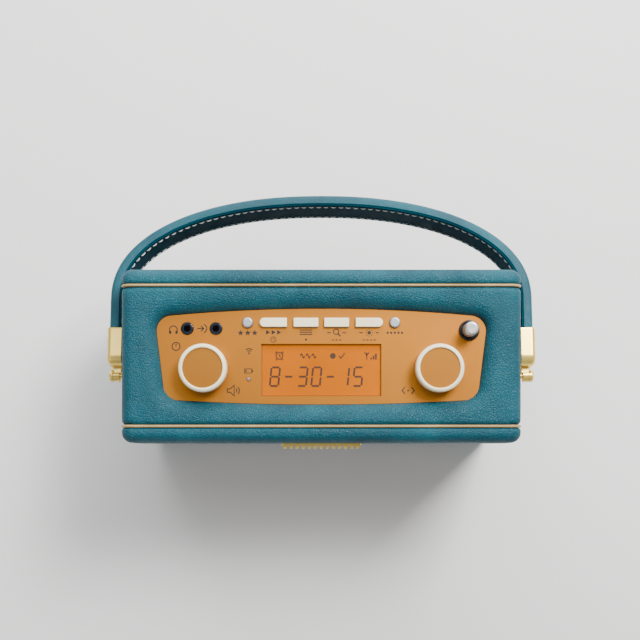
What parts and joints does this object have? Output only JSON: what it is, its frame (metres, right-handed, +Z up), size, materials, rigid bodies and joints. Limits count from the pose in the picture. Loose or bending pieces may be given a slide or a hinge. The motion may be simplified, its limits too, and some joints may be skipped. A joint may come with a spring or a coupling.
{
  "type": "portable radio",
  "caption": "Leather-covered portable radio with a control panel recessed in its top, two push-and-turn knobs, a telescopic aerial and a swinging strap handle.",
  "frame": {"origin": "on the surface the radio stands on, under the middle of its footprint with the handle folded back", "axes": "+X to the right seen from the front, -Y out of the speaker grille, +Z up"},
  "size_m": [0.233, 0.14, 0.1323],
  "materials": {
    "leather": "padded teal leather",
    "dark_leather": "dark teal leather lining, stitched",
    "board": "plain board",
    "piping": "gold-coloured piping",
    "rubber": "matte",
    "grille": "perforated, champagne gold",
    "cloth": "woven",
    "brass": "polished",
    "steel": "plated",
    "magnet": "matte",
    "paper": "pressed paper cone",
    "copper": "brushed copper colour",
    "black_plastic": "matte",
    "window": "clear window",
    "display": "amber lit display",
    "lamp": "small lamp",
    "socket": "moulded",
    "cream": "cream, satin",
    "chrome": "bright",
    "zinc": "plated",
    "circuit": "circuit board",
    "cells": "plain wrapped cells"
  },
  "bodies": {
    "case": {"aerial_bush": "chrome", "aerial_guide_tube": "zinc", "aux_socket": "socket", "baffle_board": "board", "battery_box": "black_plastic", "battery_cells": "cells", "bracket_screws": "brass", "cabinet_boards": "board", "cabinet_cover": "leather", "control_board": "circuit", "control_panel": "copper", "dc_socket": "black_plastic", "display_module": "display", "display_window": "window", "feet": "rubber", "front_badge": "brass", "front_frame": "leather", "grille_cloth": "cloth", "handle_brackets": "brass", "handle_pins": "brass", "headphone_socket": "socket", "low_battery_lamp": "lamp", "main_board": "circuit", "panel_tray": "black_plastic", "piping": "piping", "rear_frame": "leather", "rear_panel": "black_plastic", "rear_screws": "steel", "recess_lip": "leather", "speaker_basket": "steel", "speaker_cone": "paper", "speaker_grille": "grille", "speaker_magnet": "magnet", "tact_switches": "black_plastic", "tuning_encoder_body": "zinc", "volume_encoder_body": "zinc"},
    "handle": {"handle_strap": "leather", "handle_lining": "dark_leather", "handle_clips": "brass", "handle_rivets": "brass"},
    "volume_rotor": {"volume_encoder_rotor": "zinc"},
    "volume_knob_body": {"volume_knob": "cream", "volume_knob_insert": "copper", "volume_encoder_shaft": "zinc"},
    "tuning_rotor": {"tuning_encoder_rotor": "zinc"},
    "tuning_knob_body": {"tuning_knob": "cream", "tuning_knob_insert": "copper", "tuning_encoder_shaft": "zinc"},
    "aerial_stage_1": {"aerial_section_1": "chrome"},
    "aerial_stage_2": {"aerial_section_2": "chrome"},
    "aerial_stage_3": {"aerial_section_3": "chrome"},
    "aerial_stage_4": {"aerial_section_4": "chrome", "aerial_tip": "chrome"},
    "door": {"battery_door": "black_plastic"},
    "favourite_button_body": {"favourite_button": "chrome"},
    "mode_button_body": {"mode_button": "cream"},
    "menu_button_body": {"menu_button": "cream"},
    "scan_button_body": {"scan_button": "cream"},
    "dimmer_button_body": {"dimmer_button": "cream"},
    "info_button_body": {"info_button": "chrome"}
  },
  "joints": [
    {"name": "handle_swing", "type": "hinge", "parent": "case", "child": "handle", "pos_m": [0, -0.03044, 0.095], "axis": [1, 0, 0], "range_deg": [0, 198]},
    {"name": "volume_turn", "type": "hinge", "parent": "case", "child": "volume_rotor", "pos_m": [-0.0616, -0.02794, 0.118], "axis": [0, 0, 1], "continuous": true},
    {"name": "volume_press", "type": "slide", "parent": "volume_rotor", "child": "volume_knob_body", "axis": [0, 0, -1], "range_m": [0, 0.0008], "stiffness_N_per_m": 1500, "springref_m": -0.0008},
    {"name": "tuning_turn", "type": "hinge", "parent": "case", "child": "tuning_rotor", "pos_m": [0.0616, -0.02794, 0.118], "axis": [0, 0, 1], "continuous": true},
    {"name": "tuning_press", "type": "slide", "parent": "tuning_rotor", "child": "tuning_knob_body", "axis": [0, 0, -1], "range_m": [0, 0.0008], "stiffness_N_per_m": 1500, "springref_m": -0.0008},
    {"name": "favourite_button_press", "type": "slide", "parent": "case", "child": "favourite_button_body", "axis": [0, 0, -1], "range_m": [0, 0.001], "stiffness_N_per_m": 150, "springref_m": -0.001},
    {"name": "mode_button_press", "type": "slide", "parent": "case", "child": "mode_button_body", "axis": [0, 0, -1], "range_m": [0, 0.001], "stiffness_N_per_m": 150, "springref_m": -0.001},
    {"name": "menu_button_press", "type": "slide", "parent": "case", "child": "menu_button_body", "axis": [0, 0, -1], "range_m": [0, 0.001], "stiffness_N_per_m": 150, "springref_m": -0.001},
    {"name": "scan_button_press", "type": "slide", "parent": "case", "child": "scan_button_body", "axis": [0, 0, -1], "range_m": [0, 0.001], "stiffness_N_per_m": 150, "springref_m": -0.001},
    {"name": "dimmer_button_press", "type": "slide", "parent": "case", "child": "dimmer_button_body", "axis": [0, 0, -1], "range_m": [0, 0.001], "stiffness_N_per_m": 150, "springref_m": -0.001},
    {"name": "info_button_press", "type": "slide", "parent": "case", "child": "info_button_body", "axis": [0, 0, -1], "range_m": [0, 0.001], "stiffness_N_per_m": 150, "springref_m": -0.001},
    {"name": "aerial_draw_1", "type": "slide", "parent": "case", "child": "aerial_stage_1", "axis": [0, 0, 1], "range_m": [0, 0.085]},
    {"name": "aerial_draw_2", "type": "slide", "parent": "aerial_stage_1", "child": "aerial_stage_2", "axis": [0, 0, 1], "range_m": [0, 0.085]},
    {"name": "aerial_draw_3", "type": "slide", "parent": "aerial_stage_2", "child": "aerial_stage_3", "axis": [0, 0, 1], "range_m": [0, 0.085]},
    {"name": "aerial_draw_4", "type": "slide", "parent": "aerial_stage_3", "child": "aerial_stage_4", "axis": [0, 0, 1], "range_m": [0, 0.085]},
    {"name": "battery_door_swing", "type": "hinge", "parent": "case", "child": "door", "pos_m": [0, 0.02206, 0.025], "axis": [-1, 0, 0], "range_deg": [0, 100]}
  ]
}
